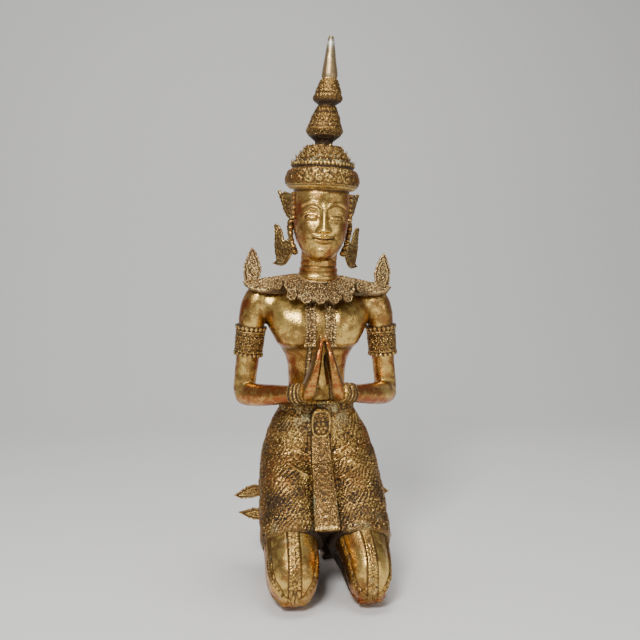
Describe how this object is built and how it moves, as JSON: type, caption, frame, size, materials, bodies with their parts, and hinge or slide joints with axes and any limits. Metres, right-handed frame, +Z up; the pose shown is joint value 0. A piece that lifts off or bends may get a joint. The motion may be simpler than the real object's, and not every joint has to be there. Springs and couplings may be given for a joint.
{
  "type": "kneeling angel statue",
  "caption": "Kneeling thepphanom angel in worn gilt bronze, hands pressed together, with a tall tiered crown, beaded collar, armlets and a wrapped patterned cloth.",
  "frame": {"origin": "on the ground, below the middle of the work's bounding box", "axes": "+Z up, the figure faces -Y, +X to the figure's own left"},
  "size_m": [0.2218, 0.2248, 0.7181],
  "materials": {
    "gilt_bronze": "worn gilding over dark cast bronze, glossy on the high places",
    "grey_bronze": "cast bronze with a dull grey-pink bloom in the relief"
  },
  "bodies": {
    "root": {"figure": "gilt_bronze", "shoulder_flame_left": "grey_bronze", "shoulder_flame_right": "grey_bronze", "ear_flame_left": "grey_bronze", "ear_flame_right": "grey_bronze", "ear_pendant_left": "grey_bronze", "ear_pendant_right": "grey_bronze", "tail_flame_upper_left": "grey_bronze", "tail_flame_upper_right": "grey_bronze", "tail_flame_lower_left": "grey_bronze", "tail_flame_lower_right": "grey_bronze"}
  },
  "joints": []
}
